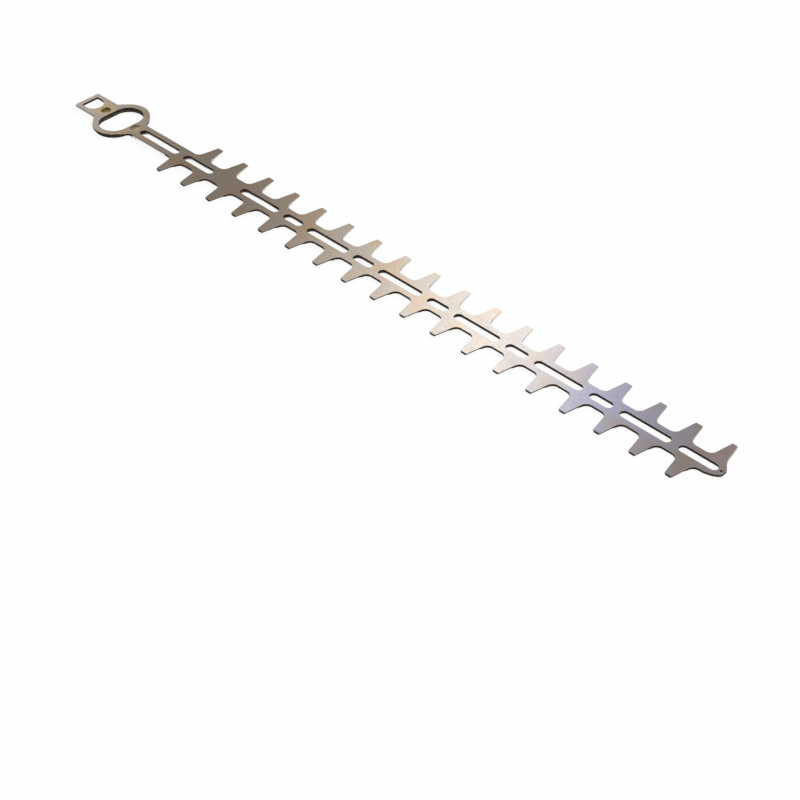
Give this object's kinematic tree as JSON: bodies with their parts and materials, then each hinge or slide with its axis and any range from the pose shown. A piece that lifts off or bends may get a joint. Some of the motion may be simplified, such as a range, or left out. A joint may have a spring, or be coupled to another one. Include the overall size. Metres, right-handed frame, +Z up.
{
  "type": "hedge trimmer cutting blade",
  "caption": "Long flat double-sided steel blade with tapered teeth, slots on its centre line, a drive eye with a welded doubler, and a tab with a D-shaped window.",
  "frame": {"origin": "middle of the drive eye, at the underside of the doubler", "axes": "+X along the blade from the drive eye to the nose, +Y across it, +Z up out of the top face"},
  "size_m": [0.6588, 0.054, 0.0045],
  "materials": {
    "blade_steel": "satin rolled spring steel with ground cutting edges",
    "doubler_steel": "satin rolled steel plate"
  },
  "bodies": {
    "root": {"blade_plate": "blade_steel", "eye_doubler": "doubler_steel"}
  },
  "joints": []
}
